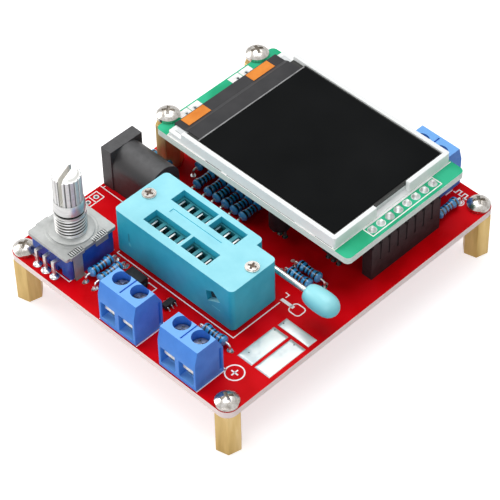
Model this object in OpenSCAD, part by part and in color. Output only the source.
// Bench component tester: an open circuit board on hex pillars with a colour
// display, a zero force test socket, a push-and-turn encoder, three screw
// terminals and a power inlet.  Origin: centre of the four feet, on the bench.

/* [Main board] */
// Width of the main board, along its front edge
board_w = 63; // [62:0.5:72]
// Depth of the main board, front to back
board_d = 78; // [77:0.5:88]
// Thickness of the main board
board_t = 1.6; // [1:0.1:2.4]
// Corner radius of the main board
board_corner_r = 2.5; // [1:0.1:4]
// Distance of the foot holes from both edges
hole_inset = 2.6; // [2.5:0.1:3.2]
// Diameter of the screw holes in the boards
screw_hole_d = 3.2; // [3:0.1:3.6]
// How far component leads reach below the main board
lead_below = 1.3; // [0.8:0.1:2]

/* [Pillars and screws] */
// Width across the flats of every hex pillar
pillar_af = 5; // [4.6:0.1:5.5]
// Length of the feet
foot_h = 11; // [8:0.5:20]
// Tapped hole of the pillars
tapped_d = 2.5; // [2.1:0.05:2.7]
// Depth of the thread at each end of a pillar
thread_deep = 4.6; // [4.4:0.1:5]
// Diameter of the machine screws under the head
shank_d = 2.4; // [2:0.05:2.5]
// Length of the machine screws under the head
screw_len = 6; // [5:0.5:7]
// Diameter of the pan heads
head_d = 5; // [4.6:0.1:5.6]
// Height of the pan heads
head_h = 1.9; // [1.5:0.1:2.4]
// Width of the cross recess
cross_w = 0.7; // [0.4:0.1:1]
// Length of the cross recess
cross_l = 2.7; // [2:0.1:3.4]
// Depth of the cross recess
cross_deep = 1.1; // [0.6:0.1:1.3]

/* [Header] */
// Pin pitch of the header and of the test socket
pitch = 2.54; // [2.5:0.01:2.6]
// Number of header pins
header_pins = 8; // [6:1:8]
// Header row, from the right edge of the display board
header_in = 2.2; // [1.8:0.1:2.5]
// First header pin, from the front edge of the display board
header_front = 9.3; // [8:0.1:10]
// Height of the female header
socket_h = 8.5; // [8:0.1:9]
// Height of the plastic strip of the male header
strip_h = 2.5; // [2:0.1:3]
// Side of a square header pin
pin_side = 0.64; // [0.5:0.02:0.7]
// How far the header pins stand out of the display board
pin_above = 0.8; // [0.4:0.1:1.4]

/* [Display] */
// Left edge of the display board, from the left edge of the main board
display_x = 5.6; // [5:0.1:6]
// Distance between the back edges of the two boards
display_back = 6.8; // [6:0.1:8]
// Width of the display board
display_w = 54; // [53.6:0.1:56]
// Depth of the display board
display_d = 34.4; // [34:0.1:36]
// Thickness of the display board
display_t = 1.6; // [1:0.1:2]
// Corner radius of the display board
display_corner_r = 1.2; // [0.5:0.1:2]
// Display pillars: distance outside the left edge of the display board
display_pillar_out = 0.5; // [0.3:0.05:0.8]
// Display pillars: distance from the front and back edge of the display board
display_pillar_in = 4.2; // [3.2:0.1:5]
// Height of the display bezel
bezel_h = 2.6; // [2.4:0.1:3.2]
// Wall of the display bezel
bezel_wall = 1; // [0.8:0.1:1.3]
// Left edge of the bezel, from the left edge of the display board
bezel_left = 3.5; // [3.2:0.1:4]
// Room for the header at the right of the bezel
bezel_right = 3.9; // [3.7:0.1:4.4]
// Margin of the display board in front of and behind the bezel
bezel_margin = 0.3; // [0.1:0.1:0.6]
// Width of the lower shelf at the left end of the bezel
bezel_shelf = 3.8; // [3:0.1:4.5]
// Length of the gap in the bezel's right wall
bezel_gap = 9.6; // [6:0.1:14]
// Thickness of the light guide
guide_t = 1.1; // [0.8:0.1:1.2]
// Thickness of each display glass
glass_t = 0.5; // [0.3:0.05:0.6]
// Thickness of the top polariser
polariser_t = 0.2; // [0.1:0.05:0.3]
// Width of the ledge where the flex tail is bonded
ledge_w = 3.4; // [3:0.1:4]
// Room for the bend of the flex tail at the left of the glass
flex_room = 3; // [2.6:0.1:3.4]
// Thickness of the flex tail
flex_t = 0.15; // [0.1:0.05:0.25]
// Depth of the flex tail, front to back
flex_d = 29.4; // [26:0.2:30.5]
// Length of each adhesive tape patch
tape_l = 6.3; // [5:0.1:8]
// Width of each adhesive tape patch
tape_w = 2.5; // [2:0.1:2.6]

/* [Test socket] */
// Left face of the test socket, from the left edge of the main board
zif_x = 15.5; // [15.3:0.1:15.8]
// Front face of the test socket, from the front edge of the main board
zif_front = 15.8; // [15.6:0.1:16]
// Length of the test socket
zif_w = 33.2; // [33:0.1:34]
// Depth of the test socket at its left end
zif_d = 14.6; // [14.2:0.1:15]
// Height of the test socket
zif_h = 11.3; // [11:0.1:12.5]
// Depth of the notch that clears the lever
zif_notch = 2.1; // [2:0.05:2.4]
// Length of the notch that clears the lever
zif_notch_l = 5.6; // [5.2:0.1:6]
// Wall of the test socket's cover
zif_wall = 1.2; // [1:0.05:1.3]
// Thickness of the cover's top
zif_top_t = 1.7; // [1.4:0.05:1.8]
// Contacts in each row
zif_columns = 7; // [5:1:7]
// Distance between the two contact rows
zif_row = 7.62; // [7.5:0.01:7.7]
// First contact column, from the socket's left face
zif_first = 7.8; // [7.7:0.1:8]
// Width of each window in the cover, front to back
window_d = 3.7; // [3.4:0.05:3.8]
// Columns behind the left windows
window_left = 4; // [3:1:4]
// Height of the slider plate
slider_t = 1.2; // [1:0.1:1.4]
// Travel of the slider
slider_travel = 1; // [0.8:0.05:1.1]

/* [Lever] */
// Diameter of the lever rod
rod_d = 1.3; // [1:0.1:1.4]
// Height of the lever rod above the board
rod_z = 7.1; // [6.9:0.05:7.3]
// Lever pivot, from the socket's right face
pivot_in = 3.4; // [3.2:0.1:3.6]
// Reach of the lever knob's tip from the pivot
lever_reach = 18.8; // [17:0.2:21]
// Length of the lever knob
knob_l = 8; // [7:0.1:9]
// Largest diameter of the lever knob
knob_d = 5; // [4:0.1:5.4]
// Diameter of the knob's neck
knob_neck_d = 3; // [2.2:0.1:3.4]
// How deep the rod sits in the knob
knob_grip = 3; // [2:0.1:4]

/* [Encoder] */
// Encoder axis, from the left edge of the main board
encoder_x = 9.9; // [9.4:0.1:10.2]
// Encoder axis, from the front edge of the main board
encoder_front = 9.2; // [9:0.1:9.6]
// Width of the encoder body
encoder_w = 11.7; // [11.4:0.1:12]
// Depth of the encoder body
encoder_d = 11.9; // [11.6:0.1:12.2]
// Height of the encoder body
encoder_h = 5.6; // [5.4:0.1:6]
// Thickness of the encoder's top plate
plate_t = 0.8; // [0.6:0.1:1]
// Depth of the encoder's top plate
plate_d = 13.4; // [13:0.1:13.8]
// Outer diameter of the threaded bush
bush_d = 7; // [6.6:0.1:7.2]
// Height of the threaded bush above the plate
bush_h = 6.3; // [5:0.1:7]
// Pitch of the thread on the bush
thread_pitch = 0.75; // [0.5:0.05:1]
// Diameter of the ring pressed round the bush
bush_ring_d = 9.4; // [8.6:0.1:10.4]
// Diameter of the knurled shaft
shaft_d = 6; // [5.6:0.1:6]
// Diameter of the shaft's neck inside the bush
neck_d = 4.7; // [4:0.1:4.9]
// Height of the knurled part of the shaft
knurl_h = 8.9; // [7:0.1:12]
// Number of knurl teeth
knurl_teeth = 18; // [12:1:24]
// Depth of the knurl grooves
knurl_deep = 0.3; // [0.15:0.05:0.4]
// Width of the slot across the shaft
shaft_slot_w = 1; // [0.6:0.1:1.2]
// Depth of the slot across the shaft
shaft_slot_h = 7; // [4:0.1:7.5]
// Angle of the slot across the shaft
shaft_slot_a = 110; // [0:5:180]
// Travel of the push switch
push_travel = 0.5; // [0.3:0.05:0.55]
// Pitch of the encoder's pins
encoder_pin_pitch = 2.5; // [2.4:0.1:2.6]
// Distance of the front pins from the axis
encoder_pin_reach = 7.5; // [7.3:0.1:7.6]

/* [Screw terminals] */
// Pole pitch of the screw terminals
pole_pitch = 5.08; // [5:0.01:5.1]
// Depth of the screw terminals
terminal_d = 7.5; // [7.3:0.1:7.8]
// Height of the screw terminals
terminal_h = 10.4; // [10.2:0.1:11]
// Depth of the flat top of the terminals
terminal_top_d = 5; // [4.9:0.1:5.2]
// Distance of the terminals from the board's edge
terminal_inset = 0.3; // [0.1:0.1:0.5]
// Centre of the left front terminal, from the left edge
terminal_1_x = 32.4; // [32.2:0.1:33]
// Centre of the right front terminal, from the left edge
terminal_2_x = 49.2; // [48.8:0.1:49.6]
// Centre of the back terminal, from the left edge
terminal_3_x = 48.2; // [48:0.1:49]
// Width of a wire entry
entry_w = 4; // [3.8:0.05:4]
// Height of a wire entry
entry_h = 4.5; // [4.2:0.1:4.6]
// Diameter of the screwdriver holes
driver_d = 3.7; // [3.4:0.1:3.8]
// Diameter of a terminal screw's head
terminal_head_d = 3.3; // [2.8:0.05:3.35]
// Diameter of a terminal screw's shank
terminal_shank_d = 2.4; // [2:0.1:2.4]
// Travel of a wire clamp
clamp_travel = 2; // [1.5:0.1:2.1]

/* [Power inlet] */
// Centre of the power inlet, from the front edge of the display board
jack_gap = 6; // [5.6:0.1:6.4]
// Gap between the left board edge and the inlet's face
jack_inset = 0.2; // [0:0.1:0.4]
// Length of the power inlet
jack_l = 14; // [13.6:0.1:14.4]
// Width of the power inlet
jack_w = 8.8; // [8.6:0.1:9]
// Height of the power inlet
jack_h = 10.7; // [10.5:0.1:10.8]
// Thickness of the inlet's front flange
flange_t = 2.9; // [2.5:0.1:3.3]
// Bore of the power inlet
jack_bore_d = 6.3; // [6:0.1:6.4]
// Diameter of the centre pin
jack_pin_d = 2.1; // [1.9:0.1:2.5]
// Depth of the bore
jack_bore_l = 9.5; // [9:0.1:10]
// Height of the bore's axis above the board
jack_axis_z = 6.4; // [6.2:0.1:6.6]

/* [Small parts] */
// Length of a resistor's body
resistor_l = 6.4; // [5.8:0.1:6.6]
// Diameter of a resistor's end caps
resistor_d = 2.3; // [2:0.1:2.35]
// Distance between a resistor's holes
resistor_span = 9.2; // [9:0.05:9.3]
// Diameter of a resistor's leads
resistor_lead_d = 0.56; // [0.45:0.01:0.65]
// Gap between a resistor and the board
resistor_gap = 0.3; // [0.1:0.1:0.6]
// Height of a small transistor's body
transistor_h = 4.6; // [4.2:0.1:5]
// Diameter of a small transistor's body
transistor_d = 4.6; // [4.4:0.1:4.8]
// Height of a small transistor's leads above the board
transistor_leg = 2.6; // [2:0.1:3.2]
// Side of the microcontroller
mcu_w = 7; // [6.8:0.1:7.2]
// Height of the microcontroller
mcu_h = 1.1; // [1:0.1:1.4]
// Height of the crystal's can
crystal_h = 3.5; // [3:0.1:4]
// Diameter of the electrolytic capacitors
electrolytic_d = 5; // [4.6:0.1:5.2]
// Height of the electrolytic capacitors
electrolytic_h = 7.4; // [6.5:0.1:8]

/* [Hidden] */
$fn = 48;

// Stack of heights, from the bench up
slack = 0.05;              // running clearance of shafts and slides
drill_step = 0.4;           // a pillar's thread over its tapping drill
fit_gap = 0.1;             // clearance of pieces that are dropped into a pocket
eps = 0.01;                // overlap of cutting bodies
board_top = foot_h + board_t;
display_pillar_h = socket_h + strip_h;
display_top = display_pillar_h + display_t;

// Outlines and general pieces --------------------------------------------

module on_board() {
    translate([-board_w / 2, -board_d / 2, board_top])
        children();
}

module rounded_rect(w, d, r) {
    translate([r, 0])
        square([w - 2 * r, d]);
    translate([0, r])
        square([w, d - 2 * r]);
    for (x = [r, w - r], y = [r, d - r])
        translate([x, y])
            circle(r);
}

module centred_box(size) {
    translate([-size[0] / 2, -size[1] / 2, 0])
        cube(size);
}

// Drilled through and tapped from both ends
module hex_pillar(length) {
    difference() {
        cylinder(h = length, r = pillar_af / 2 / cos(30), $fn = 6);
        translate([0, 0, -eps])
            cylinder(h = length + 2 * eps, d = tapped_d - drill_step);
        translate([0, 0, -eps])
            cylinder(h = thread_deep + eps, d = tapped_d);
        translate([0, 0, length - thread_deep])
            cylinder(h = thread_deep + eps, d = tapped_d);
    }
}

// Domed head cut by a cross, with its shank below z = 0
module pan_screw(length) {
    dome_r = (pow(head_d / 2, 2) + pow(head_h, 2)) / (2 * head_h) * 1.3;
    difference() {
        union() {
            intersection() {
                cylinder(h = head_h, d = head_d);
                translate([0, 0, head_h - dome_r])
                    sphere(dome_r, $fn = 64);
            }
            translate([0, 0, -length])
                cylinder(h = length + eps, d = shank_d);
        }
        for (turn = [0, 90])
            rotate(turn)
                translate([0, 0, head_h - cross_deep])
                    centred_box([cross_l, cross_w, head_h]);
    }
}

module bent_lead(run, drop, d) {
    rotate([0, 90, 0])
        cylinder(h = run, d = d, $fn = 24);
    translate([run, 0, 0])
        sphere(d = d, $fn = 24);
    translate([run, 0, -drop])
        cylinder(h = drop, d = d, $fn = 24);
}

// Places on the main board, from its front left corner ---------------------

layout_w = 63;             // board that the places below are given for
layout_d = 78;
function spread(p) = [p[0] * board_w / layout_w, p[1] * board_d / layout_d, p[2]];
layout_display_w = 54;     // display board, for the places below it
layout_display_d = 34.4;
function below(p) = [display_x + p[0] * display_w / layout_display_w,
                     display_y + p[1] * display_d / layout_display_d, p[2]];

display_y = board_d - display_back - display_d;
header_x = display_x + display_w - header_in;
header_y = display_y + header_front;
zif_y = spread([0, zif_front, 0])[1];
encoder_y = spread([0, encoder_front, 0])[1];
jack_y = display_y - jack_gap;

foot_at = [for (x = [hole_inset, board_w - hole_inset], y = [hole_inset, board_d - hole_inset]) [x, y]];
display_pillar_x = display_x - display_pillar_out;
display_pillar_at = [for (y = [display_pillar_in, display_d - display_pillar_in])
    [display_pillar_x, display_y + y]];
header_at = [for (i = [0 : header_pins - 1]) [header_x, header_y + i * pitch]];
zif_mid_y = zif_y + zif_d / 2 + 0.35;
zif_at = [for (side = [-1, 1], i = [0 : zif_columns - 1])
    [zif_x + zif_first + i * pitch, zif_mid_y + side * zif_row / 2]];
encoder_front_pins = [for (i = [-1 : 1]) [encoder_x + i * encoder_pin_pitch, encoder_y - encoder_pin_reach]];
encoder_back_pins = [for (i = [-1, 1]) [encoder_x + i * encoder_pin_pitch, encoder_y + encoder_pin_reach - 0.5]];

// Terminals: centre of the front face and the way it faces
terminal_at = [for (t = [[terminal_1_x, terminal_inset, 0],
                         [terminal_2_x, terminal_inset, 0],
                         [terminal_3_x, board_d - terminal_inset, 180]])
    [spread(t)[0], t[1], t[2]]];
terminal_pin_y = 4.2;

// Resistors: centre and angle of the body
row_at = [for (i = [0 : 4]) below([12.9, 5, 90]) + [i * pitch, 0, 0]];
resistor_at = concat(row_at, [below([9.7, 5, 90])],
    [for (p = [[48.3, 34.4, 0], [48.3, 37.8, 0], [47.4, 12.2, 0]]) spread(p)],
    [[header_x - 0.4, header_y + header_pins * pitch + 3.9, 90],
     [encoder_x + 8, encoder_y + 0.1, 90], [encoder_x + 10.7, encoder_y + 0.1, 90]]);
// Transistors and voltage references: centre and angle
transistor_at = [for (p = [[43.9, 6.8, 180], [37.4, 8.6, 180], [30.9, 4.7, 0], [3.9, 12.2, 90]]) below(p)];
mcu_at = below([27.4, 19.2, 0]);
crystal_at = below([40.4, 21.2, 0]);
electrolytic_at = [for (p = [[6.4, 20.7, 0], [14.4, 28.2, 0]]) below(p)];
disc_at = [for (p = [[33.9, 29.7, 0], [40.4, 27.7, 0], [22.4, 30.2, 0]]) below(p)];
chip_at = spread([34.9, 11.6, 0]);
diode_at = [encoder_x + 15.4, chip_at[1] + 0.3];
lead_hole_d = 0.9;

function turn_2d(p, a) = [p[0] * cos(a) - p[1] * sin(a), p[0] * sin(a) + p[1] * cos(a)];
function placed(at, p) = [at[0], at[1]] + turn_2d(p, at[2]);

resistor_holes = [for (r = resistor_at, s = [-1, 1]) placed(r, [s * resistor_span / 2, 0])];
transistor_pitch = 1.4;
transistor_holes = [for (t = transistor_at, i = [-1 : 1]) placed(t, [i * transistor_pitch, 0])];
crystal_pitch = 4.88;
disc_pitch = 5;
electrolytic_pitch = 2.2;
two_lead_holes = concat(
    [for (s = [-1, 1]) placed(crystal_at, [s * crystal_pitch / 2, 0])],
    [for (c = electrolytic_at, s = [-1, 1]) placed(c, [s * electrolytic_pitch / 2, 0])],
    [for (c = disc_at, s = [-1, 1]) placed(c, [s * disc_pitch / 2, 0])]);
terminal_holes = [for (t = terminal_at, s = [-1, 1])
    placed(t, [s * pole_pitch / 2, terminal_pin_y])];
jack_slot_at = [[jack_inset + 7.6, jack_y], [jack_inset + 13.2, jack_y]];

// Main board, feet and screws ----------------------------------------------

module main_board() {
    color("firebrick")
        on_board()
            translate([0, 0, -board_t])
                difference() {
                    linear_extrude(board_t)
                        rounded_rect(board_w, board_d, board_corner_r);
                    drill(concat(foot_at, display_pillar_at), screw_hole_d);
                    drill(concat(header_at, zif_at, resistor_holes, transistor_holes, two_lead_holes), lead_hole_d);
                    drill(encoder_front_pins, 1.1);
                    drill(encoder_back_pins, 1.1);
                    drill(terminal_holes, 1.4);
                    encoder_leg_slots();
                    jack_slots();
                }
}

module drill(places, d) {
    for (p = places)
        translate([p[0], p[1], -eps])
            cylinder(h = board_t + 2 * eps, d = d, $fn = 24);
}

module encoder_leg_slots() {
    for (s = [-1, 1])
        translate([encoder_x + s * (encoder_w / 2 + leg_t / 2 + slack), encoder_y + s * leg_y, -eps])
            centred_box([leg_t + 0.6, leg_w + 0.5, board_t + 2 * eps]);
}

module jack_slots() {
    for (p = jack_slot_at)
        translate([p[0], p[1], -eps])
            centred_box([1, 3, board_t + 2 * eps]);
}

module feet() {
    color("goldenrod")
        translate([-board_w / 2, -board_d / 2, 0])
            for (p = foot_at)
                translate([p[0], p[1], 0])
                    rotate(15)
                        hex_pillar(foot_h);
}

module board_screws() {
    color("silver")
        on_board()
            for (p = foot_at)
                translate([p[0], p[1], 0])
                    rotate(10 * p[0] + p[1])
                        pan_screw(screw_len);
}

module display_pillars() {
    color("goldenrod")
        on_board()
            for (p = display_pillar_at)
                translate([p[0], p[1], 0])
                    hex_pillar(display_pillar_h);
}

module display_screws() {
    color("silver")
        on_board()
            for (p = display_pillar_at)
                translate([p[0], p[1], display_top])
                    rotate(p[1])
                        pan_screw(screw_len);
}

module display_base_screws() {
    color("silver")
        on_board()
            for (p = display_pillar_at)
                translate([p[0], p[1], -board_t])
                    rotate([180, 0, 0])
                        pan_screw(screw_len);
}

// Header between the boards --------------------------------------------------

header_w = pitch;
socket_well_w = 1.7;
socket_mouth_w = 0.9;
socket_roof_t = 1.2;
leaf_t = 0.2;

// Female header: a well and a mouth for each contact, and side grooves between poles
module header_socket() {
    color("#202020")
        on_board()
            difference() {
                translate([header_x - header_w / 2, header_y - pitch / 2, 0])
                    cube([header_w, header_pins * pitch, socket_h]);
                for (p = header_at)
                    translate([p[0], p[1], 0]) {
                        translate([0, 0, -eps])
                            centred_box([socket_well_w, socket_well_w, socket_h - socket_roof_t + eps]);
                        centred_box([socket_mouth_w, socket_mouth_w, socket_h + eps]);
                    }
                for (i = [1 : header_pins - 1], s = [-1, 1])
                    translate([header_x + s * header_w / 2, header_y + (i - 0.5) * pitch, socket_h / 2])
                        centred_box([0.35, 0.5, socket_h]);
            }
}

// Two leaves on a foot, with a tail through the board
module header_contacts() {
    color("gold")
        on_board()
            for (p = header_at)
                translate([p[0], p[1], 0]) {
                    for (s = [-1, 1])
                        translate([s * (pin_side / 2 + leaf_t / 2 + slack), 0, 0.3])
                            centred_box([leaf_t, 1, socket_h - socket_roof_t - 0.6]);
                    translate([0, 0, 0.1])
                        centred_box([pin_side + 2 * leaf_t + 2 * slack, 1, 0.4]);
                    translate([0, 0, -board_t - lead_below])
                        centred_box([0.5, 0.5, board_t + lead_below + 0.2]);
                }
}

// Male strip: eight poles with cut corners
module header_strip() {
    cut = 0.5;
    half = pitch / 2;
    color("#202020")
        on_board()
            translate([0, 0, socket_h])
                linear_extrude(strip_h)
                    difference() {
                        for (p = header_at)
                            translate(p)
                                polygon([[-half, cut - half], [cut - half, -half], [half - cut, -half],
                                         [half, cut - half], [half, half - cut], [half - cut, half],
                                         [cut - half, half], [-half, half - cut]]);
                        for (p = header_at)
                            translate(p)
                                square(pin_side + 2 * slack, center = true);
                    }
}

module header_pins() {
    reach = socket_h - 2.4;
    color("gold")
        on_board()
            for (p = header_at)
                translate([p[0], p[1], socket_h - reach])
                    centred_box([pin_side, pin_side, reach + strip_h + display_t + pin_above]);
}

// Display -------------------------------------------------------------------

bezel_w = display_w - bezel_left - bezel_right;
bezel_d = display_d - 2 * bezel_margin;
bezel_x = display_x + bezel_left;
bezel_y = display_y + (display_d - bezel_d) / 2;
bezel_z = display_top;
pocket_w = bezel_w - 2 * bezel_wall;
pocket_d = bezel_d - 2 * bezel_wall;
bezel_floor = 0.15;
guide_z = bezel_z + bezel_floor;
lower_glass_z = guide_z + guide_t;
upper_glass_z = lower_glass_z + glass_t;
polariser_z = upper_glass_z + glass_t;
pocket_right = bezel_x + bezel_w - bezel_wall - fit_gap;
glass_w = pocket_w - ledge_w - flex_room;
lower_glass_w = glass_w + ledge_w;
shelf_h = bezel_floor + guide_t - 0.1;

module display_board() {
    color("mediumseagreen")
        on_board()
            translate([0, 0, display_pillar_h])
                difference() {
                    translate([display_x, display_y, 0])
                        linear_extrude(display_t)
                            rounded_rect(display_w, display_d, display_corner_r);
                    for (p = display_pillar_at)
                        translate([p[0], p[1], -eps])
                            cylinder(h = display_t + 2 * eps, d = screw_hole_d);
                    for (p = header_at)
                        translate([p[0], p[1], -eps])
                            cylinder(h = display_t + 2 * eps, d = pin_side * 1.6, $fn = 24);
                }
}

// White tray: four walls, a thin floor, a lower shelf at the left, a gap at the right
module display_bezel() {
    color("white")
        on_board()
            translate([bezel_x, bezel_y, bezel_z])
                difference() {
                    linear_extrude(bezel_h)
                        rounded_rect(bezel_w, bezel_d, 0.5);
                    translate([bezel_wall, bezel_wall, bezel_floor])
                        cube([pocket_w, pocket_d, bezel_h]);
                    translate([-eps, -eps, shelf_h])
                        cube([bezel_shelf, bezel_d + 2 * eps, bezel_h]);
                    translate([bezel_w - bezel_wall - eps, (bezel_d - bezel_gap) / 2, bezel_floor])
                        cube([bezel_wall + 2 * eps, bezel_gap, bezel_h]);
                }
}

module sheet(right, w, z, t, margin) {
    translate([right - w, bezel_y + bezel_wall + margin, z])
        cube([w, pocket_d - 2 * margin, t]);
}

module display_light_guide() {
    color("gainsboro")
        on_board()
            sheet(pocket_right, pocket_w - 2 * fit_gap, guide_z, guide_t, fit_gap);
}

module display_lower_glass() {
    color("#303236")
        on_board()
            sheet(pocket_right, lower_glass_w, lower_glass_z, glass_t, fit_gap);
}

module display_upper_glass() {
    color("#26272a")
        on_board()
            sheet(pocket_right, glass_w, upper_glass_z, glass_t, fit_gap);
}

module display_polariser() {
    color("#0c0d0f")
        on_board()
            sheet(pocket_right - 0.4, glass_w - 0.8, polariser_z, polariser_t, 0.5);
}

// Flex tail: bonded on the glass ledge, bent over the shelf and down to the board
module display_flex() {
    bond_x = pocket_right - glass_w - 0.3;
    ledge_x = pocket_right - lower_glass_w;
    top_z = upper_glass_z;
    low_z = lower_glass_z + 0.03;
    left_x = bezel_x - 0.25;
    bottom_z = display_top + 0.02;
    color("#4a4a4e")
        on_board()
            translate([0, bezel_y + (bezel_d + flex_d) / 2, 0])
                rotate([90, 0, 0])
                    linear_extrude(flex_d)
                        polygon([[bond_x, top_z], [ledge_x - 0.4, top_z], [ledge_x - 1.4, low_z],
                                 [left_x, low_z], [left_x, bottom_z], [left_x - flex_t, bottom_z],
                                 [left_x - flex_t, low_z + flex_t], [ledge_x - 1.4 - flex_t / 2, low_z + flex_t],
                                 [ledge_x - 0.4 - flex_t / 2, top_z + flex_t], [bond_x, top_z + flex_t]]);
}

module display_tapes() {
    tape_z = lower_glass_z + 0.03 + flex_t + 0.02;
    tape_x = bezel_x - 0.2;
    tape_y = [bezel_y + 3.8, bezel_y + bezel_d - 5 - tape_l];
    color("orange")
        on_board()
            for (y = tape_y)
                translate([tape_x, y, tape_z])
                    cube([tape_w, tape_l, 0.08]);
}

// Zero force test socket ------------------------------------------------------

zif_right = zif_x + zif_w;
zif_corner_r = 1.1;
notch_face_y = zif_y + zif_d - zif_notch;
pivot_x = zif_right - pivot_in;
lever_y = notch_face_y + 0.12 + rod_d / 2;
slider_z = zif_h - zif_top_t - slider_t - 0.15;
base_h = slider_z - 0.1;
crank_r = slider_travel;
crank_pin_d = 0.9;
cam_d = 2 * crank_r + crank_pin_d + 0.3;
cam_t = 0.6;
cam_y = notch_face_y - zif_wall - 0.1;
tab_y = cam_y - cam_t - 0.15;
tab_d = 1.3;
zif_cell_w = 1.7;
zif_cell_d = 2.9;
zif_leaf_t = 0.35;
zif_leaf_d = 2.2;
zif_leaf_x = -0.45;
zif_floor = 0.8;
zif_screw_at = [[zif_x + 2.2, zif_mid_y], [zif_right - 2, zif_mid_y]];
zif_screw_d = 1.6;
zif_screw_head_d = 3;
zif_screw_l = 5.5;

module zif_outline(inset) {
    r = max(zif_corner_r - inset, 0.2);
    translate([zif_x + inset, zif_y + inset]) {
        rounded_rect(zif_w - 2 * inset, zif_d - zif_notch - 2 * inset, r);
        rounded_rect(zif_w - zif_notch_l - 2 * inset, zif_d - 2 * inset, r);
    }
}

// Contact carrier with a cell for each contact and room for the crank
module zif_base() {
    color("teal")
        on_board()
            difference() {
                linear_extrude(base_h)
                    zif_outline(zif_wall + fit_gap);
                for (p = zif_at)
                    translate([p[0], p[1], 0]) {
                        translate([0, 0, zif_floor])
                            centred_box([zif_cell_w + 0.2, zif_cell_d, base_h]);
                        translate([0, 0, -eps])
                            centred_box([0.7, 0.7, zif_floor + 2 * eps]);
                    }
                translate([pivot_x - 2.8, tab_y - tab_d - 0.25, rod_z - cam_d / 2 - 0.3])
                    cube([pivot_in - zif_wall + 2.7, tab_d + cam_t + 1, base_h]);
                for (p = zif_screw_at)
                    translate([p[0], p[1], base_h - zif_screw_l])
                        cylinder(h = base_h, d = zif_screw_d + 2 * slack);
            }
}

// Upright leaves on a foot, each with its tail through the board
module zif_contacts() {
    color("silver")
        on_board()
            for (p = zif_at)
                translate([p[0], p[1], 0]) {
                    translate([zif_leaf_x, 0, zif_floor])
                        centred_box([zif_leaf_t, zif_leaf_d, slider_z + slider_t - 0.1 - zif_floor]);
                    translate([0, 0, zif_floor])
                        centred_box([-2 * zif_leaf_x + zif_leaf_t, zif_leaf_d, 0.3]);
                    translate([0, 0, -board_t - lead_below])
                        centred_box([0.5, 0.5, board_t + lead_below + zif_floor + 0.1]);
                }
}

// Slider: a slotted plate with a fork that the crank pin drives
module zif_slider() {
    left = zif_at[0][0] - 3.3;
    right = zif_at[zif_columns - 1][0] + 1.9;
    front = zif_y + zif_wall + 0.2;
    back = zif_y + zif_d - zif_wall - 0.2;
    fork_w = crank_pin_d + 0.6;
    fork_x = pivot_x - fork_w / 2 - 0.85;
    fork_bottom = rod_z - crank_pin_d / 2 - 0.2;
    color("lightseagreen")
        on_board()
            difference() {
                union() {
                    translate([left, front, slider_z])
                        cube([right - left, back - front, slider_t]);
                    translate([right - eps, tab_y - tab_d, slider_z])
                        cube([fork_x + fork_w + 1.7 - right + eps, tab_d, slider_t]);
                    translate([fork_x, tab_y - tab_d, fork_bottom])
                        cube([fork_w + 1.7, tab_d, slider_z + slider_t - fork_bottom]);
                }
                for (p = zif_at)
                    translate([p[0], p[1], slider_z - eps])
                        centred_box([zif_cell_w, zif_cell_d, slider_t + 2 * eps]);
                translate([pivot_x - fork_w / 2, tab_y - tab_d - eps, fork_bottom - eps])
                    cube([fork_w, tab_d + 2 * eps, crank_r + crank_pin_d + 0.4]);
            }
}

// Cover: a deep shell with four windows, a lever notch and a side window
module zif_cover() {
    divider = 0.7;
    left_w = window_left * pitch;
    windows = [[zif_first - pitch / 2 - 0.1, left_w - divider / 2 + 0.1],
               [zif_first - pitch / 2 + left_w + divider / 2, (zif_columns - window_left) * pitch - divider / 2 + 0.1]];
    color("paleturquoise")
        on_board()
            difference() {
                translate([0, 0, 0.25])
                    linear_extrude(zif_h - 0.25)
                        zif_outline(0);
                linear_extrude(zif_h - zif_top_t)
                    zif_outline(zif_wall);
                for (side = [-1, 1], win = windows)
                    translate([zif_x + win[0], zif_mid_y + side * zif_row / 2 - window_d / 2, zif_h - zif_top_t - eps])
                        cube([win[1], window_d, zif_top_t + 2 * eps]);
                translate([zif_x + zif_first + 0.8, zif_mid_y - 0.6, zif_h - 0.2])
                    cube([(zif_columns - 1) * pitch - 1.6, 1.2, 1]);
                for (p = zif_screw_at)
                    translate([p[0], p[1], zif_h - zif_top_t - eps])
                        cylinder(h = zif_top_t + 2 * eps, d = zif_screw_d + 2 * fit_gap);
                translate([pivot_x, notch_face_y + eps, rod_z])
                    rotate([90, 0, 0])
                        cylinder(h = zif_wall + 2 * eps, d = rod_d + 2 * slack);
                side_window();
            }
}

module side_window() {
    translate([zif_right - 7.2, zif_y + zif_wall + eps, rod_z])
        rotate([90, 0, 0])
            linear_extrude(zif_wall + 2 * eps)
                polygon([[0.3, -2.8], [3.85, -1], [2, 0.9], [0, -0.2]]);
}

module zif_screws() {
    head_t = 0.5;
    color("silver")
        on_board()
            for (p = zif_screw_at)
                translate([p[0], p[1], zif_h])
                    difference() {
                        union() {
                            cylinder(h = head_t * 0.6, d = zif_screw_head_d);
                            cylinder(h = head_t, d = zif_screw_head_d - 0.5);
                            translate([0, 0, -zif_screw_l])
                                cylinder(h = zif_screw_l + eps, d = zif_screw_d);
                        }
                        for (turn = [0, 90])
                            rotate(turn + 20)
                                translate([0, 0, head_t - 0.4])
                                    centred_box([1.8, 0.45, 1]);
                    }
}

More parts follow.
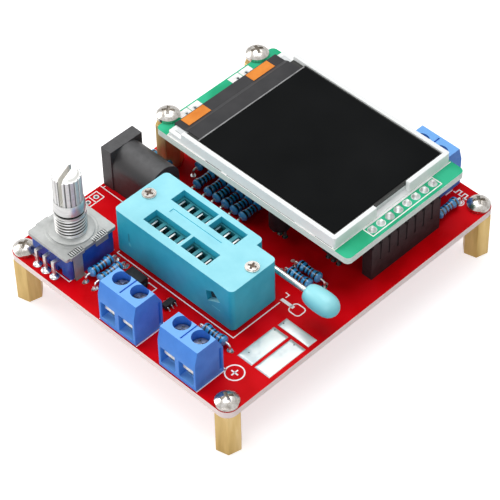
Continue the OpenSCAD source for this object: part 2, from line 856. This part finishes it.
// Bent rod: lever arm, axle through the cover's wall, cam disc and crank pin
module zif_lever_rod() {
    arm = lever_reach - knob_l + knob_grip;
    color("silver")
        on_board()
            translate([pivot_x, 0, rod_z]) {
                translate([0, lever_y, 0]) {
                    rotate([0, 90, 0])
                        cylinder(h = arm, d = rod_d, $fn = 32);
                    sphere(d = rod_d, $fn = 32);
                }
                along_y(lever_y, cam_y, rod_d);
                along_y(cam_y, cam_y - cam_t, cam_d);
                translate([0, 0, crank_r])
                    along_y(cam_y - cam_t, tab_y - tab_d, crank_pin_d);
            }
}

module along_y(from, to, d) {
    translate([0, from, 0])
        rotate([90, 0, 0])
            cylinder(h = from - to, d = d, $fn = 32);
}

// Pear-shaped knob, turned about the rod, with a blind hole for it
module zif_lever_knob() {
    steps = 12;
    tip = [for (i = [0 : steps]) let (a = 90 - i * 90 / steps)
        [knob_d / 2 * sin(a), knob_l - knob_d / 2 + knob_d / 2 * cos(a)]];
    body = [for (i = [0 : steps - 1]) let (t = i / steps)
        [knob_neck_d / 2 + (knob_d - knob_neck_d) / 2 * sin(90 * t), t * (knob_l - knob_d / 2)]];
    color("paleturquoise")
        on_board()
            translate([pivot_x + lever_reach - knob_l, lever_y, rod_z])
                rotate([0, 90, 0])
                    difference() {
                        rotate_extrude()
                            polygon(concat([[0, 0]], body, tip));
                        translate([0, 0, -eps])
                            cylinder(h = knob_grip + slack, d = rod_d + 2 * slack);
                    }
}

// Encoder -------------------------------------------------------------------

leg_t = 0.4;
leg_w = 2.2;
leg_y = -3.9;
lug_y = 2.6;
rotor_d = 8.8;
rotor_t = 0.8;
rotor_z = 3;
dome_d = 4.4;
dome_z = 0.6;
stem_d = 3.6;
bush_z = encoder_h + plate_t;
knurl_z = bush_z + bush_h + push_travel + 0.1;

module at_encoder() {
    on_board()
        translate([encoder_x, encoder_y, 0])
            children();
}

// Body with a pocket for the rotor and a well for the switch dome
module encoder_base() {
    well_z = dome_z - 0.1;
    color("royalblue")
        at_encoder()
            difference() {
                linear_extrude(encoder_h)
                    translate([-encoder_w / 2, -encoder_d / 2])
                        rounded_rect(encoder_w, encoder_d, 0.6);
                translate([0, 0, rotor_z - 0.1])
                    cylinder(h = encoder_h, d = rotor_d + 0.6);
                translate([0, 0, well_z])
                    cylinder(h = encoder_h, d = dome_d + 0.6);
                for (s = [-1, 1])
                    translate([s * encoder_w / 2, s * leg_y, -eps])
                        centred_box([0.3, leg_w + 0.4, encoder_h + 2 * eps]);
                translate([foot_at[0][0] - encoder_x, foot_at[0][1] - encoder_y, -eps])
                    cylinder(h = head_h + 0.3, d = head_d + 0.4);
                for (i = [-1 : 1])
                    translate([i * encoder_pin_pitch, -encoder_d / 2, -eps])
                        centred_box([1.3, 1.6, 1.6]);
            }
}

// Snap dome of the push switch
module encoder_dome() {
    rise = 0.5;
    ball_r = (pow(dome_d / 2, 2) + pow(rise, 2)) / (2 * rise);
    color("silver")
        at_encoder()
            translate([0, 0, dome_z - 0.08])
                difference() {
                    intersection() {
                        cylinder(h = rise, d = dome_d);
                        translate([0, 0, rise - ball_r])
                            sphere(ball_r);
                    }
                    translate([0, 0, rise - 0.15 - ball_r])
                        sphere(ball_r);
                }
}

// Wiper disc, turned by the flats of the shaft
module encoder_rotor() {
    color("ivory")
        at_encoder()
            translate([0, 0, rotor_z])
                linear_extrude(rotor_t)
                    difference() {
                        circle(d = rotor_d);
                        d_section(stem_d + 2 * slack, slack);
                    }
}

module d_section(d, gap) {
    flat = d / 2 - 0.5 + gap;
    intersection() {
        circle(d = d);
        translate([-d, -d])
            square([d + flat, 2 * d]);
    }
}

// Sheet metal plate with clamping legs through the board and short lugs
module encoder_plate() {
    color("gainsboro")
        at_encoder()
            difference() {
                union() {
                    translate([-encoder_w / 2, -plate_d / 2, encoder_h])
                        linear_extrude(plate_t)
                            rounded_rect(encoder_w, plate_d, 0.5);
                    for (s = [-1, 1]) {
                        translate([s * (encoder_w / 2 + leg_t / 2 + slack / 2 - 0.1), s * leg_y, -board_t - 0.9])
                            centred_box([leg_t - slack, leg_w, board_t + 0.9 + encoder_h + plate_t]);
                        translate([s * (encoder_w / 2 + leg_t / 2 - 0.1), s * lug_y, encoder_h - 0.7])
                            centred_box([leg_t, 3.2, plate_t + 0.7]);
                        translate([s * (encoder_w / 2 - 0.2), s * leg_y, encoder_h])
                            centred_box([1, leg_w + 1.4, plate_t]);
                    }
                }
                translate([0, 0, encoder_h - eps])
                    cylinder(h = plate_t + 2 * eps, d = neck_d + 1);
                for (s = [-1, 1])
                    translate([s * (encoder_w / 2 - 0.1), s * lug_y, encoder_h - 1])
                        centred_box([0.24, 3.4, 1]);
            }
}

// Bush: flange ring, V thread turned as rings, plain collar with a chamfer
module encoder_bush() {
    deep = thread_pitch * 0.4;
    ring_t = 0.3;
    collar_h = bush_h * 0.32;
    turns = floor((bush_h - collar_h - ring_t) / thread_pitch);
    thread = [for (i = [0 : turns - 1], half = [0, 1])
        [bush_d / 2 - deep * half, ring_t + (i + half * 0.5) * thread_pitch]];
    top = ring_t + turns * thread_pitch;
    color("silver")
        at_encoder()
            translate([0, 0, bush_z])
                rotate_extrude($fn = 64)
                    polygon(concat(
                        [[neck_d / 2 + slack, 0], [bush_ring_d / 2, 0], [bush_ring_d / 2 - 0.1, ring_t]],
                        thread,
                        [[bush_d / 2 - deep, top], [bush_d / 2 - deep, top + 0.3], [bush_d / 2 - 0.2, top + 0.45],
                         [bush_d / 2 - 0.2, bush_h - 0.5], [bush_d / 2 - 0.6, bush_h], [neck_d / 2 + slack, bush_h]]));
}

// Shaft: knurled and slotted above the bush, D shaped in the rotor
module encoder_shaft() {
    tip_z = dome_z + 1.05;
    clip_t = 0.5;
    flat_top = rotor_z + rotor_t + push_travel + 0.2;
    color("whitesmoke")
        at_encoder()
            difference() {
                union() {
                    translate([0, 0, knurl_z])
                        linear_extrude(knurl_h - 0.5)
                            knurl_outline();
                    translate([0, 0, knurl_z + knurl_h - 0.6])
                        cylinder(h = 0.6, r1 = shaft_d / 2 - knurl_deep - 0.05, r2 = shaft_d / 2 - 0.8);
                    translate([0, 0, flat_top])
                        cylinder(h = knurl_z - flat_top + eps, d = stem_d + 0.3);
                    translate([0, 0, bush_z])
                        cylinder(h = knurl_z - bush_z + eps, d = neck_d);
                    translate([0, 0, bush_z - clip_t - 0.35])
                        cylinder(h = clip_t, d = neck_d + 0.7);
                    translate([0, 0, tip_z])
                        linear_extrude(flat_top - tip_z + eps)
                            d_section(stem_d, 0);
                }
                rotate(shaft_slot_a)
                    translate([0, 0, knurl_z + knurl_h - shaft_slot_h])
                        centred_box([shaft_d + 1, shaft_slot_w, shaft_slot_h + 1]);
            }
}

module knurl_outline() {
    step = 360 / knurl_teeth;
    polygon([for (i = [0 : knurl_teeth - 1], k = [[-0.32, 0], [0.32, 0], [0.5, 1]])
        (shaft_d / 2 - knurl_deep * k[1]) * [cos((i + k[0]) * step), sin((i + k[0]) * step)]]);
}

// Three bent pins at the front, two switch pins at the back
module encoder_pins() {
    reach_front = encoder_pin_reach - encoder_d / 2;
    reach_back = encoder_pin_reach - 0.5 - encoder_d / 2;
    pin_t = 0.4;
    pin_z = 3.8;
    color("silver")
        at_encoder() {
            for (i = [-1 : 1])
                translate([i * encoder_pin_pitch, 0, 0])
                    bent_strip(-1, reach_front, pin_z, pin_t);
            for (i = [-1, 1])
                translate([i * encoder_pin_pitch, 0, 0])
                    bent_strip(1, reach_back, pin_z, pin_t);
        }
}

module bent_strip(side, reach, pin_z, pin_t) {
    w = 0.8;
    outer = encoder_d / 2 + reach;
    rotate(side > 0 ? 0 : 180) {
        translate([-w / 2, encoder_d / 2, pin_z])
            cube([w, reach + pin_t / 2, pin_t]);
        translate([-w / 2, outer - pin_t / 2, -board_t - lead_below])
            cube([w, pin_t, board_t + lead_below + pin_z + pin_t]);
    }
}

// Screw terminals -------------------------------------------------------------

terminal_w = 2 * pole_pitch;
terminal_floor = 1;
chamber_w = 3.7;
chamber_front = 1.7;
chamber_back = 6.6;
cage_t = 0.4;
cage_nut_t = 0.9;
cage_w = 3.4;
cage_top = terminal_floor + entry_h + cage_nut_t + 0.15;
clamp_t = 0.5;
clamp_w = 3;
clamp_z = cage_top - cage_nut_t - clamp_t - 0.3;
head_bottom = cage_top + clamp_travel + 0.15;
terminal_head_h = 1.4;

module at_terminal(i) {
    on_board()
        translate([terminal_at[i][0], terminal_at[i][1], 0])
            rotate(terminal_at[i][2])
                children();
}

module terminal_housing(i) {
    color("cornflowerblue")
        at_terminal(i)
            difference() {
                union() {
                    translate([-terminal_w / 2, 0, 0])
                        rotate([90, 0, 90])
                            linear_extrude(terminal_w)
                                polygon([[0, 0], [0, 7.2], [0.8, terminal_h], [0.8 + terminal_top_d, terminal_h],
                                         [terminal_d, 7], [terminal_d, 0]]);
                    translate([-terminal_w / 2 - 0.3, terminal_d - 1, 0.8])
                        cube([0.4, 0.45, 6.2]);
                }
                translate([terminal_w / 2 - 0.4, terminal_d - 1.1, 0.8])
                    cube([1, 0.65, 6.4]);
                translate([0, 0.8 + 0.3 + terminal_top_d / 2, terminal_h - 0.4])
                    centred_box([0.35, terminal_top_d - 0.4, 1]);
                for (s = [-1, 1])
                    translate([s * pole_pitch / 2, 0, 0])
                        terminal_cavity();
            }
}

module terminal_cavity() {
    translate([-entry_w / 2, -eps, terminal_floor])
        cube([entry_w, chamber_front + 0.4, entry_h]);
    translate([-chamber_w / 2, chamber_front, terminal_floor])
        cube([chamber_w, chamber_back - chamber_front, cage_top + 0.05 - terminal_floor]);
    translate([0, terminal_pin_y, cage_top])
        cylinder(h = terminal_h, d = driver_d);
    translate([0, terminal_pin_y, -eps])
        cylinder(h = terminal_floor + 2 * eps, d = 1.1, $fn = 24);
}

// Metal cages: a foot, a back and a tapped top, with the pin below
module terminal_cages() {
    front = chamber_front + 0.1;
    back = chamber_back - 0.1;
    color("silver")
        for (i = [0 : len(terminal_at) - 1], s = [-1, 1])
            at_terminal(i)
                translate([s * pole_pitch / 2, 0, 0])
                    difference() {
                        union() {
                            translate([-cage_w / 2, front, terminal_floor])
                                cube([cage_w, back - front, cage_t]);
                            translate([-cage_w / 2, back - cage_t, terminal_floor])
                                cube([cage_w, cage_t, cage_top - terminal_floor]);
                            translate([-cage_w / 2, front, cage_top - cage_nut_t])
                                cube([cage_w, back - front, cage_nut_t]);
                            translate([0, terminal_pin_y, -board_t - lead_below])
                                cylinder(h = board_t + lead_below + terminal_floor + eps, d = 1, $fn = 24);
                        }
                        translate([0, terminal_pin_y, cage_top - cage_nut_t - eps])
                            cylinder(h = cage_nut_t + 2 * eps, d = terminal_shank_d + 2 * slack);
                    }
}

// Clamp: a pressed plate with a lip that hangs in the wire entry
module terminal_clamp(i, s) {
    lip_y = 0.7;
    lip_h = 1.9;
    color("silver")
        at_terminal(i)
            translate([s * pole_pitch / 2, 0, 0]) {
                translate([-clamp_w / 2, lip_y, clamp_z])
                    cube([clamp_w, chamber_back - cage_t - 0.4 - lip_y, clamp_t]);
                translate([-clamp_w / 2, lip_y, clamp_z - lip_h + clamp_t])
                    cube([clamp_w, 0.4, lip_h]);
            }
}

// Slotted cheese-head screw that carries the clamp down
module terminal_screw(i, s) {
    tip = clamp_z + clamp_t + slack;
    color("gainsboro")
        at_terminal(i)
            translate([s * pole_pitch / 2, terminal_pin_y, 0])
                difference() {
                    union() {
                        translate([0, 0, tip])
                            cylinder(h = head_bottom - tip + eps, d = terminal_shank_d);
                        translate([0, 0, head_bottom])
                            cylinder(h = terminal_head_h, d = terminal_head_d);
                    }
                    rotate(25)
                        translate([0, 0, head_bottom + terminal_head_h - 0.7])
                            centred_box([terminal_head_d + 1, 0.6, 1]);
                }
}

// Power inlet -------------------------------------------------------------------

jack_barrel_d = jack_w - 0.4;
jack_tail_t = 0.5;
jack_tail_w = 2.2;
jack_leaf_l = 4.4;

module at_jack() {
    on_board()
        translate([jack_inset, jack_y, 0])
            children();
}

module along_x(length, d) {
    rotate([0, 90, 0])
        cylinder(h = length, d = d);
}

module jack_housing() {
    color("#242424")
        at_jack()
            difference() {
                union() {
                    translate([0, -jack_w / 2, 0])
                        cube([flange_t, jack_w, jack_h]);
                    translate([flange_t - eps, 0, jack_axis_z])
                        along_x(jack_l - flange_t, jack_barrel_d);
                    translate([flange_t - eps, -jack_barrel_d / 2, 0])
                        cube([jack_l - flange_t, jack_barrel_d, jack_axis_z]);
                }
                translate([-eps, 0, jack_axis_z])
                    along_x(jack_bore_l, jack_bore_d);
                translate([0, 0, jack_axis_z])
                    along_x(jack_slot_at[1][0] - jack_inset, jack_pin_d + 2 * slack);
                translate([jack_slot_at[1][0] - jack_inset, 0, -eps])
                    centred_box([jack_tail_t + 0.2, jack_tail_w + 0.2, jack_axis_z + 1.3]);
                translate([jack_slot_at[0][0] - jack_inset, 0, -eps])
                    centred_box([jack_tail_t + 0.2, jack_tail_w + 0.2, 3]);
                translate([jack_slot_at[0][0] - jack_inset - jack_leaf_l, -jack_tail_w / 2 - 0.2, 2.2])
                    cube([jack_leaf_l + jack_tail_t / 2 + 0.1, jack_tail_w + 0.4, 1.5]);
            }
}

module jack_centre_pin() {
    tip_x = 1.4;
    tail_x = jack_slot_at[1][0] - jack_inset;
    color("silver")
        at_jack() {
            translate([tip_x, 0, jack_axis_z])
                along_x(tail_x - tip_x, jack_pin_d);
            translate([tip_x, 0, jack_axis_z])
                sphere(d = jack_pin_d);
            translate([tail_x, 0, -board_t - lead_below])
                centred_box([jack_tail_t, jack_tail_w, board_t + lead_below + jack_axis_z + 1.2]);
        }
}

module jack_springs() {
    tail_x = jack_slot_at[0][0] - jack_inset;
    leaf_z = 2.5;
    color("silver")
        at_jack() {
            translate([tail_x, 0, -board_t - lead_below])
                centred_box([jack_tail_t, jack_tail_w, board_t + lead_below + leaf_z + 0.3]);
            translate([tail_x - jack_leaf_l + 0.4, -jack_tail_w / 2, leaf_z])
                cube([jack_leaf_l - 0.4, jack_tail_w, 0.3]);
        }
}

// Small parts -------------------------------------------------------------------

resistor_z = resistor_d / 2 + resistor_gap;

module at_place(p) {
    on_board()
        translate([p[0], p[1], 0])
            rotate(p[2])
                children();
}

// Resistor body: round end caps and a thinner waist
module resistor_bodies() {
    cap = 1.5;
    cap_r = resistor_d / 2;
    waist_r = cap_r - 0.15;
    l = resistor_l;
    color("steelblue")
        for (p = resistor_at)
            at_place(p)
                translate([-l / 2, 0, resistor_z])
                    rotate([0, 90, 0])
                        rotate_extrude($fn = 32)
                            polygon([[0, 0], [cap_r - 0.5, 0], [cap_r - 0.15, 0.15], [cap_r, 0.5],
                                     [cap_r, cap - 0.3], [waist_r, cap], [waist_r, l - cap], [cap_r, l - cap + 0.3],
                                     [cap_r, l - 0.5], [cap_r - 0.15, l - 0.15], [cap_r - 0.5, l], [0, l]]);
}

module resistor_leads() {
    color("silver")
        for (p = resistor_at, side = [0, 180])
            at_place(p)
                rotate(side)
                    translate([resistor_l / 2, 0, resistor_z])
                        bent_lead((resistor_span - resistor_l) / 2, resistor_z + board_t + lead_below, resistor_lead_d);
}

// D-shaped moulded bodies
module transistor_bodies() {
    color("#232323")
        for (p = transistor_at)
            at_place(p)
                translate([0, 0, transistor_leg])
                    linear_extrude(transistor_h)
                        intersection() {
                            circle(d = transistor_d);
                            translate([-transistor_d, -transistor_d])
                                square([2 * transistor_d, transistor_d * 1.3]);
                        }
}

module transistor_leads() {
    color("silver")
        for (p = transistor_at, i = [-1 : 1])
            at_place(p)
                translate([i * transistor_pitch, 0, -board_t - lead_below])
                    centred_box([0.45, 0.45, board_t + lead_below + transistor_leg]);
}

// Square chip on four rows of gull-wing pins
mcu_lift = 0.1;
mcu_row = 8;
mcu_pitch = 0.8;

module microcontroller() {
    color("#262626")
        on_board()
            translate([mcu_at[0], mcu_at[1], mcu_lift])
                difference() {
                    centred_box([mcu_w, mcu_w, mcu_h]);
                    translate([-mcu_w / 2 + 1.1, mcu_w / 2 - 1.1, mcu_h - 0.1])
                        cylinder(h = 1, d = 0.9);
                }
}

module microcontroller_pins() {
    reach = 1;
    color("silver")
        for (turn = [0 : 90 : 270])
            on_board()
                translate([mcu_at[0], mcu_at[1], 0])
                    rotate(turn)
                        for (i = [0 : mcu_row - 1])
                            translate([(i - (mcu_row - 1) / 2) * mcu_pitch, mcu_w / 2, 0]) {
                                centred_strip(0, 0.45, mcu_h / 2, 0.15);
                                centred_strip(0.35, 0.5, 0, mcu_h / 2 + 0.15);
                                centred_strip(0.35, reach, 0, 0.15);
                            }
}

module centred_strip(y0, y1, z, h) {
    translate([-0.18, y0, z])
        cube([0.36, y1 - y0, h]);
}

// Low crystal can on a flange, with two leads
module crystal() {
    can_w = 10.6;
    can_d = 4;
    rim = 0.4;
    color("silver")
        on_board()
            translate([crystal_at[0], crystal_at[1], 0]) {
                translate([-can_w / 2 - rim, -can_d / 2 - rim, 0.1])
                    linear_extrude(0.5)
                        rounded_rect(can_w + 2 * rim, can_d + 2 * rim, can_d / 2 - 0.1);
                translate([-can_w / 2, -can_d / 2, 0.1])
                    linear_extrude(crystal_h)
                        rounded_rect(can_w, can_d, can_d / 2 - 0.1);
                for (s = [-1, 1])
                    translate([s * crystal_pitch / 2, 0, -board_t - lead_below])
                        cylinder(h = board_t + lead_below + 0.2, d = 0.5, $fn = 24);
            }
}

// Two electrolytic cans and three ceramic discs, on their leads
module capacitors() {
    disc_d = 4.4;
    disc_t = 2;
    color("darkslateblue")
        on_board() {
            for (c = electrolytic_at)
                translate([c[0], c[1], 0]) {
                    translate([0, 0, 0.3])
                        rotate_extrude()
                            can_profile(electrolytic_d / 2, electrolytic_h);
                    straight_leads(electrolytic_pitch, 0.4);
                }
            for (c = disc_at)
                translate([c[0], c[1], 0])
                    rotate(c[2]) {
                        translate([0, disc_t / 2, disc_d / 2 + 1])
                            rotate([90, 0, 0])
                                cylinder(h = disc_t, d = disc_d);
                        straight_leads(disc_pitch, 0);
                        for (s = [-1, 1])
                            translate([s * disc_pitch / 2, 0, 0])
                                crooked_lead(s, disc_d);
                    }
        }
}

module can_profile(r, h) {
    polygon([[0, 0], [r - 0.3, 0], [r, 0.3], [r, 1], [r - 0.25, 1.25], [r, 1.5], [r, h - 0.5],
             [r - 0.5, h], [r - 0.9, h], [r - 0.9, h - 0.2], [0, h - 0.2]]);
}

module straight_leads(span, above) {
    for (s = [-1, 1])
        translate([s * span / 2, 0, -board_t - lead_below])
            cylinder(h = board_t + lead_below + above, d = 0.5, $fn = 24);
}

// Lead that runs up from its hole and in to the disc
module crooked_lead(s, disc_d) {
    up = disc_d / 2 + 1;
    cylinder(h = up, d = 0.5, $fn = 24);
    translate([0, 0, up])
        sphere(d = 0.5, $fn = 24);
    translate([0, 0, up])
        rotate([0, -s * 90, 0])
            cylinder(h = disc_pitch / 2 - disc_d / 2 + 0.2, d = 0.5, $fn = 24);
}

// Eight-pin converter chip and a moulded diode, soldered flat on the board
module surface_parts() {
    chip = [4.9, 3.9, 1.4];
    diode = [4.4, 2.6, 2.1];
    color("#2b2b2b")
        on_board() {
            translate([chip_at[0], chip_at[1], 0.15])
                centred_box(chip);
            for (side = [0, 180], i = [-1.5 : 1.5])
                translate([chip_at[0], chip_at[1], 0])
                    rotate(side)
                        translate([i * 1.27, chip[1] / 2, 0]) {
                            centred_strip(0, 0.45, 0.7, 0.2);
                            centred_strip(0.35, 0.55, 0, 0.9);
                            centred_strip(0.35, 1.05, 0, 0.2);
                        }
            translate([diode_at[0], diode_at[1], 0.15])
                centred_box(diode);
            for (s = [-1, 1])
                translate([diode_at[0] + s * (diode[0] / 2 + 0.2), diode_at[1], 0])
                    centred_box([0.4, 1.5, 1.2]);
        }
}

main_board();
feet();
board_screws();
display_pillars();
display_screws();
display_base_screws();
header_socket();
header_contacts();
header_strip();
header_pins();
display_board();
display_bezel();
display_light_guide();
display_lower_glass();
display_upper_glass();
display_polariser();
display_flex();
display_tapes();
zif_base();
zif_contacts();
zif_slider();
zif_cover();
zif_screws();
zif_lever_rod();
zif_lever_knob();
encoder_base();
encoder_dome();
encoder_rotor();
encoder_plate();
encoder_bush();
encoder_shaft();
encoder_pins();
terminal_housing(0);  // terminal_1_housing
terminal_housing(1);  // terminal_2_housing
terminal_housing(2);  // terminal_3_housing
terminal_cages();
terminal_clamp(0, -1);  // terminal_1_left_clamp
terminal_clamp(0, 1);  // terminal_1_right_clamp
terminal_clamp(1, -1);  // terminal_2_left_clamp
terminal_clamp(1, 1);  // terminal_2_right_clamp
terminal_clamp(2, 1);  // terminal_3_left_clamp
terminal_clamp(2, -1);  // terminal_3_right_clamp
terminal_screw(0, -1);  // terminal_1_left_screw
terminal_screw(0, 1);  // terminal_1_right_screw
terminal_screw(1, -1);  // terminal_2_left_screw
terminal_screw(1, 1);  // terminal_2_right_screw
terminal_screw(2, 1);  // terminal_3_left_screw
terminal_screw(2, -1);  // terminal_3_right_screw
jack_housing();
jack_centre_pin();
jack_springs();
resistor_bodies();
resistor_leads();
transistor_bodies();
transistor_leads();
microcontroller();
microcontroller_pins();
crystal();
capacitors();
surface_parts();
